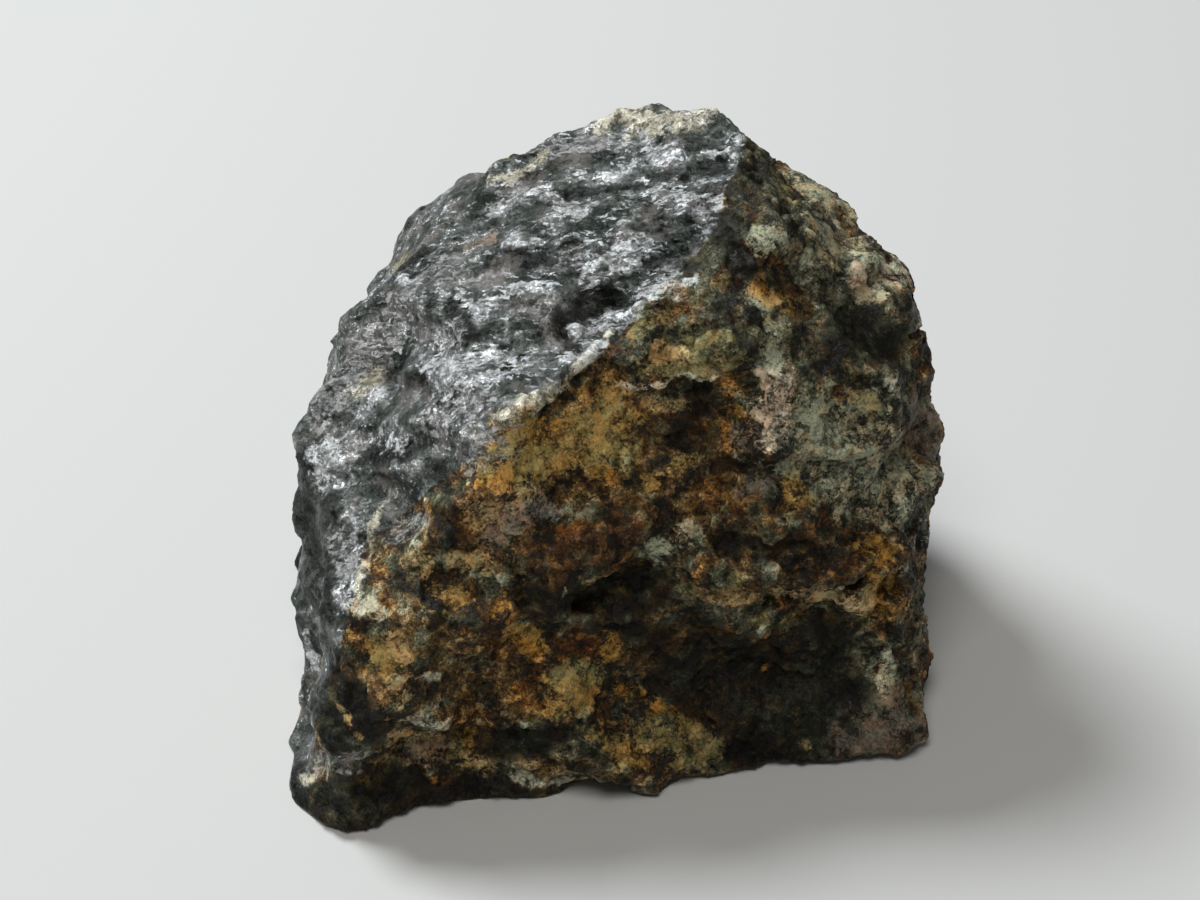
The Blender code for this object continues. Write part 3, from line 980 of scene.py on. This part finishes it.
# %% Node helpers
rock = finish_material("iolite_rock_finish", colour=(0.18, 0.17, 0.14), roughness=0.5)
nodes = rock.node_tree.nodes
links = rock.node_tree.links


def put(kind, inputs=None, **settings):
    """Adds a node; each input gets a value, or a link where another node's output is given."""
    node = nodes.new("ShaderNode" + kind)
    for name, value in settings.items():
        setattr(node, name, value)
    for name, value in (inputs or {}).items():
        if isinstance(value, bpy.types.NodeSocket):
            links.new(value, node.inputs[name])
        else:
            node.inputs[name].default_value = value
    return node


def maths(operation, a, b=0.0):
    return put("Math", {0: a, 1: b}, operation=operation).outputs[0]


def times(a, b):
    return maths("MULTIPLY", a, b)


print("finish:", rock.name)

# %% [markdown]
# ## Places for the patterns
# All patterns read the stone's own coordinates in mm, so they are cut through it like the real grain.
# Three bent copies make the borders of grains wander, shake or fray. A fourth is a frame of its own along
# the layers, in which noise comes out as streaks.

# %% Places for the patterns
MIDDLE = (0.5, 0.5, 0.5)
WANDERING = 0.6
SHAKING = 0.22
FRAYING = 0.55
TURNED_FLOW = Vector((0.50, 0.62, 0.60)).normalized()
TURNED_UP = Vector((-0.64, 0.72, -0.21)).normalized()
ALONG_FLOW = 0.35
ALONG_UP = 1.3


def shifts(**settings):
    """Noise as a shift about zero, from about -0.5 to 0.5 each way."""
    colour = put("TexNoise", {"Vector": place, **settings}).outputs["Color"]
    return put("VectorMath", {0: colour, 1: MIDDLE}, operation="SUBTRACT").outputs[0]


def moved_by(shift, amount):
    return put("VectorMath", {0: shift, 1: (amount,) * 3, 2: place}, operation="MULTIPLY_ADD").outputs[0]


def along_axis(axis, stretch):
    dot = put("VectorMath", {0: bent_place, 1: tuple(axis)}, operation="DOT_PRODUCT").outputs["Value"]
    return times(dot, stretch)


def flow_places(flow, up):
    """Places in a frame of their own, in which noise comes out as streaks along the flow."""
    across = up.cross(flow)
    return put("CombineXYZ", {"X": along_axis(flow, ALONG_FLOW), "Y": along_axis(across, 1.0),
                              "Z": along_axis(up, ALONG_UP)}).outputs[0]


place = put("TexCoord").outputs["Object"]
place = put("VectorMath", {0: place, "Scale": 1 / MM}, operation="SCALE").outputs[0]
bend = shifts(Scale=1.8, Detail=2.0)
fray = shifts(Scale=3.0, Detail=3.0, Roughness=0.7)
bent_place = moved_by(bend, WANDERING)
shaken_place = moved_by(bend, SHAKING)
frayed_place = moved_by(fray, FRAYING)
flowing = flow_places(FLOW, LAYERS_UP)
flowing_on_wall = flow_places(TURNED_FLOW, TURNED_UP)
print("places:", len(nodes), "nodes")

# %% [markdown]
# ## Patterns
# A real surface varies at every scale, so no single noise will do. Soft noises give the broad mottling,
# the stains and the grit. Voronoi mosaics give the grains: each cell has one tone, one hue and one lean,
# as a crystal has. Where the silver side is sugary, its streaks give way to plain grains.

# %% Patterns


def noise_on(places, scale, detail=3.0, roughness=0.6, distortion=0.0):
    settings = {"Vector": places, "Scale": scale, "Detail": detail, "Roughness": roughness,
                "Distortion": distortion}
    return put("TexNoise", settings).outputs["Fac"]


def random_cells(places, scale):
    """A Voronoi mosaic: a random number for each cell, a second one, and a random lean."""
    colour = put("TexVoronoi", {"Vector": places, "Scale": scale}).outputs["Color"]
    numbers = put("SeparateColor", {0: colour}).outputs
    lean = put("VectorMath", {0: colour, 1: MIDDLE}, operation="SUBTRACT").outputs[0]
    return numbers[0], numbers[1], lean


def carried(name):
    """A number that the skin carries."""
    return put("Attribute", attribute_name=name).outputs["Fac"]


def swapped(number, other, share):
    """One number, giving way to another where the share is 1."""
    return put("Mix", {0: share, 2: number, 3: other}, data_type="FLOAT").outputs[0]


CRUMB_SCALE = 2.8
mottle = noise_on(place, 0.6, detail=4, roughness=0.62, distortion=0.3)
hue = noise_on(bent_place, 0.62, detail=2, roughness=0.6)
stain = noise_on(bent_place, 0.42, detail=3, roughness=0.65)
grit = noise_on(place, 3.2, detail=4, roughness=0.7)
sand = noise_on(place, 12.0, detail=2)
lumps, lump_hue, _ = random_cells(frayed_place, 1.05)
grains, grain_hue, _ = random_cells(frayed_place, 2.0)
crumbs, _, crumb_lean = random_cells(shaken_place, CRUMB_SCALE)
specks, _, speck_lean = random_cells(shaken_place, 7.5)
scales, _, scale_lean = random_cells(flowing, 1.5)
flakes, _, flake_lean = random_cells(flowing, 4.6)
glints, _, _ = random_cells(flowing, 7.0)
gaps = put("TexVoronoi", {"Vector": shaken_place, "Scale": CRUMB_SCALE}, feature="DISTANCE_TO_EDGE")
gaps = gaps.outputs["Distance"]

sugary = carried("sugary")
streak = noise_on(flowing, 1.5, detail=4, roughness=0.68)
streak_on_wall = noise_on(flowing_on_wall, 1.5, detail=4, roughness=0.68)
streak = swapped(streak, streak_on_wall, carried("turned"))
streak = swapped(streak, grit, sugary)
flakes = swapped(flakes, crumbs, sugary)
glints = swapped(glints, specks, sugary)
print("patterns:", len(nodes), "nodes")

# %% [markdown]
# ## Silver ground
# The pewter of the silver side is not one grey: black biotite and white mica lie in fine streaks, with a
# pinkish cast where the rock is stained. A tone, summed from the patterns, runs through a ramp of greys.
# The livelier the mica, the wider the tone swings.

# %% Silver ground
PINKISH_CAST = (0.20, 0.175, 0.165)
PINKISH_COVER = 0.45
STAINED = (0.50, 0.66)
GRITTY_BORDER = 0.9
BORDER_BLEND = (0.35, 0.65)
MICA_SWING = (0.68, 1.08)


def between(value, start, end, low=0.0, high=1.0):
    """The value, stretched so that start to end becomes low to high, with soft ends."""
    settings = {"Value": value, "From Min": start, "From Max": end, "To Min": low, "To Max": high}
    return put("MapRange", settings, interpolation_type="SMOOTHSTEP").outputs["Result"]


def weighed(*parts):
    """A sum of (number, weight) pairs about one half, in which each number counts from its own middle."""
    total = 0.5
    for number, weight in parts:
        total = put("Math", {0: maths("SUBTRACT", number, 0.5), 1: weight, 2: total},
                    operation="MULTIPLY_ADD").outputs[0]
    return total


def stops(value, *colours):
    """A colour ramp through (position, colour) pairs."""
    node = put("ValToRGB", {"Fac": value})
    bar = node.color_ramp.elements
    while len(bar) < len(colours):
        bar.new(0.5)
    for element, (position, colour) in zip(bar, colours):
        element.position = position
        element.color = (*colour, 1)
    return node.outputs["Color"]


def paint(under, over, share, blend="MIX"):
    """One colour over another, or with the blend MULTIPLY, a glaze that tints it."""
    mix = put("Mix", {0: share}, data_type="RGBA", blend_type=blend)
    for socket, value in ((6, under), (7, over)):
        if isinstance(value, bpy.types.NodeSocket):
            links.new(value, mix.inputs[socket])
        else:
            mix.inputs[socket].default_value = (*value, 1)
    return mix.outputs[2]


border_grit = times(maths("SUBTRACT", grit, 0.5), GRITTY_BORDER)
silver_share = between(maths("ADD", carried("silver"), border_grit), *BORDER_BLEND)
liveliness = between(carried("mica"), 0.0, 0.9, *MICA_SWING)
small_tone = weighed((streak, 1.7), (scales, 0.30), (flakes, 0.42), (specks, 0.30), (grit, 0.5), (sand, 0.5))
small_tone = times(maths("SUBTRACT", small_tone, 0.5), liveliness)
silver_tone = maths("ADD", small_tone, weighed((mottle, 2.1), (carried("lens_tone"), 0.34)))
silver_ground = stops(
    silver_tone, (0.05, (0.008, 0.011, 0.008)), (0.33, (0.024, 0.030, 0.024)), (0.52, (0.057, 0.065, 0.057)),
    (0.70, (0.124, 0.131, 0.124)), (0.88, (0.265, 0.272, 0.27)), (1.0, (0.49, 0.505, 0.51)))
silver_ground = paint(silver_ground, PINKISH_CAST, times(between(stain, *STAINED), PINKISH_COVER))
print("silver ground:", len(nodes), "nodes")

# %% [markdown]
# ## Granular ground
# Below the ridge lies the groundmass: brown where rust has soaked in, and greenish grey where it hasn't.
# Both have the same tone, so grains run on across their border, and amber stains glaze the brown.

# %% Granular ground
AMBER = (1.40, 0.98, 0.45)
tone = weighed((mottle, 1.1), (carried("coarse_tone"), 0.20), (carried("fine_tone"), 0.28), (lumps, 0.24),
               (grains, 0.30), (crumbs, 0.18), (specks, 0.32), (grit, 0.45), (sand, 0.8))
brown_ground = stops(
    tone, (0.10, (0.005, 0.004, 0.003)), (0.32, (0.018, 0.012, 0.005)), (0.50, (0.052, 0.033, 0.012)),
    (0.68, (0.12, 0.078, 0.030)), (0.85, (0.24, 0.165, 0.07)), (1.0, (0.44, 0.36, 0.23)))
green_ground = stops(
    tone, (0.10, (0.005, 0.005, 0.003)), (0.32, (0.018, 0.019, 0.011)), (0.50, (0.048, 0.048, 0.029)),
    (0.70, (0.115, 0.112, 0.075)), (0.85, (0.20, 0.19, 0.14)), (1.0, (0.38, 0.36, 0.28)))
greenish = carried("greenish")
green_share = maths("ADD", greenish, weighed((hue, 3.0), (lump_hue, 0.8), (grain_hue, 0.6)))
ground = paint(brown_ground, green_ground, between(green_share, 0.5, 1.2))
stained = times(between(stain, *STAINED), between(greenish, 1.0, 0.0, low=0.25))
ground = paint(ground, AMBER, stained, blend="MULTIPLY")
colour = paint(ground, silver_ground, silver_share)
print("granular ground:", len(nodes), "nodes")

# %% [markdown]
# ## Minerals
# Each mineral covers the ground where the skin carries its share, with its border crumbled by grains, or
# by flakes on the silver side. It has a cover, a dark tone and a light one, and patterns choose between
# the two. Brown soaking and black biotite only dim what is there, as they do on the stone.

# %% Minerals
DARKENING = {"brown": (0.55, 0.42, 0.30), "black": (0.15, 0.16, 0.14)}
MINERAL_TONES = {
    "green_grey": (0.8, (0.085, 0.085, 0.057), (0.46, 0.45, 0.325)),
    "olive": (0.65, (0.055, 0.047, 0.016), (0.33, 0.27, 0.11)),
    "grey": (0.7, (0.085, 0.085, 0.083), (0.42, 0.415, 0.41)),
    "ochre": (0.75, (0.085, 0.051, 0.012), (0.50, 0.33, 0.10)),
    "tan": (0.8, (0.11, 0.070, 0.030), (0.60, 0.425, 0.20)),
    "lilac": (0.8, (0.030, 0.023, 0.018), (0.155, 0.122, 0.098)),
    "rosy": (0.75, (0.060, 0.042, 0.030), (0.34, 0.255, 0.19)),
    "rust": (0.7, (0.08, 0.035, 0.006), (0.52, 0.28, 0.05)),
    "pink": (0.85, (0.21, 0.155, 0.115), (0.78, 0.65, 0.51)),
    "cream": (0.75, (0.16, 0.14, 0.095), (0.66, 0.62, 0.49)),
    "pale": (0.85, (0.16, 0.165, 0.16), (0.62, 0.63, 0.635)),
}
STREAKY = ("pale", "grey")
crumble = weighed((grit, 0.6), (lumps, 0.42), (grains, 0.50), (specks, 0.34), (sand, 0.35))
streaky_crumble = weighed((streak, 1.7), (flakes, 0.7), (glints, 0.4))
grainy = weighed((mottle, 0.6), (lumps, 0.35), (grains, 0.45), (carried("fine_tone"), 0.25), (grit, 0.6),
                 (specks, 0.45), (sand, 0.8))
grainy = between(grainy, 0.05, 0.95)
streaky = between(weighed((streak, 1.5), (flakes, 0.7), (glints, 0.5), (grit, 0.5), (sand, 0.6)), 0.2, 0.9)


def ragged_share(mineral):
    """A mineral's share, with its border crumbled."""
    share = carried(mineral)
    edge = maths("ADD", share, streaky_crumble if mineral in STREAKY else crumble)
    return times(between(edge, 0.55, 1.45), between(share, 0.05, 0.35))


# The black share also carries painted shadow along the foot and painted shade in one hollow.
for mineral, tint in DARKENING.items():
    colour = paint(colour, tint, ragged_share(mineral), blend="MULTIPLY")
for mineral, (cover, dark, light) in MINERAL_TONES.items():
    tones = paint(dark, light, streaky if mineral in STREAKY else grainy)
    colour = paint(colour, tones, times(ragged_share(mineral), cover))
print("minerals:", len(nodes), "nodes")

# %% [markdown]
# ## Warm and cool grains
# Two grains of one mineral are never quite the same hue. A thin glaze turns each lump and grain of the
# granular side a little warm or cool.

# %% Warm and cool grains
WARM = (1.16, 0.99, 0.82)
COOL = (0.93, 1.0, 0.93)


def rest_of(share):
    """What a share leaves of the whole."""
    return maths("SUBTRACT", 1.0, share)


granular_share = rest_of(silver_share)
warm_or_cool = between(weighed((lump_hue, 0.7), (grain_hue, 0.7), (hue, 1.0)), 0.2, 0.8)
colour = paint(colour, paint(WARM, COOL, warm_or_cool), granular_share, blend="MULTIPLY")
print("hues:", len(nodes), "nodes")

# %% [markdown]
# ## Joints, painted glints, painted shade and wear
# Between the grains lie dark joints and crevices. On the silver side single flakes of mica are painted
# pale as glints of light. Hollows get painted shade, and edges that stick out are painted paler, as wear
# and as a painted highlight.

# %% Joints, painted glints, painted shade and wear
CREVICE = (0.006, 0.006, 0.004)
CREVICE_COVER = 0.6
JOINT = (0.006, 0.005, 0.004)
JOINT_COVER = 0.5
PAINTED_GLINT = (0.62, 0.66, 0.70)
PAINTED_GLINT_COVER = 0.7
HOLLOW_SHADE = (0.005, 0.004, 0.003)
HOLLOW_SHADE_COVER = 0.55
WEAR_AND_HIGHLIGHT_COVER = 0.6
BLACK_STAYS_DULL = (0.8, 0.2)
crevices = times(between(tone, 0.42, 0.10), granular_share)
colour = paint(colour, CREVICE, times(crevices, CREVICE_COVER))
joints = times(between(gaps, 0.15, 0.02), between(mottle, 0.56, 0.40))
colour = paint(colour, JOINT, times(times(joints, granular_share), JOINT_COVER))
not_black = between(carried("black"), *BLACK_STAYS_DULL)
# Painted highlight: single mica cells are painted pale bluish white, as glints of light.
painted_glint = maths("ADD", glints, times(carried("mica"), 0.16))
painted_glint = times(between(painted_glint, 0.92, 0.95), between(streak, 0.42, 0.58))
painted_glint = times(painted_glint, times(silver_share, not_black))
colour = paint(colour, PAINTED_GLINT, times(painted_glint, PAINTED_GLINT_COVER))
hollow_here = carried("hollow")
sunk = between(hollow_here, 0.01, 0.12)
proud = between(hollow_here, -0.01, -0.10)
# Painted shade: the hollows are darkened towards black, as shade falls in them.
colour = paint(colour, HOLLOW_SHADE, times(sunk, HOLLOW_SHADE_COVER))
# Painted highlight and wear: edges that stand out are painted paler.
worn_and_lit = put("HueSaturation", {"Color": colour, "Value": 1.6, "Saturation": 0.9}).outputs[0]
colour = paint(colour, worn_and_lit, times(proud, WEAR_AND_HIGHLIGHT_COVER))
print("wear:", len(nodes), "nodes")

# %% [markdown]
# ## Leaning crystals
# What makes rock glitter is that its tiny faces look in all directions. Bump gives only the grit. So in
# each cell of the mosaics, the normal leans by that cell's own lean, and a whole flake or grain lights up
# or goes dark at once. Relief that shows in the outline is in the mesh already.

# %% Leaning crystals
GRIT_HEIGHT = 0.16 * MM
GRIT_STRENGTH = 0.8
FLAKE_TILT = 0.8
SCALE_TILT = 0.35
CRUMB_TILT = 0.45
SUGAR_TILT = 0.8


def leaned(normal, lean, amount):
    """The normal, tipped in each cell by that cell's own lean."""
    tip = put("VectorMath", {0: lean, "Scale": amount}, operation="SCALE").outputs[0]
    return put("VectorMath", {0: normal, 1: tip}, operation="ADD").outputs[0]


bump = put("Bump", {"Height": maths("ADD", grit, times(sand, 0.35)), "Distance": GRIT_HEIGHT,
                    "Strength": GRIT_STRENGTH})
flat_share = times(silver_share, rest_of(sugary))
normal = leaned(bump.outputs[0], flake_lean, times(flat_share, times(liveliness, FLAKE_TILT)))
normal = leaned(normal, scale_lean, times(flat_share, SCALE_TILT))
normal = leaned(normal, crumb_lean, CRUMB_TILT)
normal = leaned(normal, speck_lean, between(times(silver_share, sugary), 0.0, 1.0, CRUMB_TILT, SUGAR_TILT))
normal = put("VectorMath", {0: normal}, operation="NORMALIZE").outputs[0]
print("leans:", len(nodes), "nodes")

# %% [markdown]
# ## Gloss
# Each grain broke smooth or rough, so its roughness is its own. Mica mirrors like metal, most of all
# where it is pale, and black biotite and the hollows hardly shine. The specular level is the same all
# over, so it is set on the shader's own socket.

# %% Gloss
GRAIN_ROUGHNESS = (0.36, 0.72)
MICA_ROUGHNESS = (0.45, 0.20)
METALLIC_SHINE = 0.6
SPECULAR_LEVEL = 0.17
HOLLOW_ROUGHNESS = 0.8
granular_rough = between(crumbs, 0.0, 1.0, *GRAIN_ROUGHNESS)
silver_rough = between(flakes, 0.0, 1.0, *MICA_ROUGHNESS)
rough = swapped(granular_rough, silver_rough, silver_share)
rough = swapped(rough, HOLLOW_ROUGHNESS, sunk)
metal = times(silver_share, between(silver_tone, 0.5, 0.8, high=METALLIC_SHINE))
metal = times(metal, not_black)

shader = nodes["Principled BSDF"]
links.new(colour, shader.inputs["Base Color"])
links.new(normal, shader.inputs["Normal"])
links.new(rough, shader.inputs["Roughness"])
links.new(metal, shader.inputs["Metallic"])
shader.inputs["Specular IOR Level"].default_value = SPECULAR_LEVEL
stone.data.materials.clear()
stone.data.materials.append(rock)
print("finish:", len(nodes), "nodes")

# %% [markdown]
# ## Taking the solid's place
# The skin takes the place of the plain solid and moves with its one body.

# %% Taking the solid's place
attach(stone, "root")
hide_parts("raw_iolite")
print("boxes written for", stone.name)
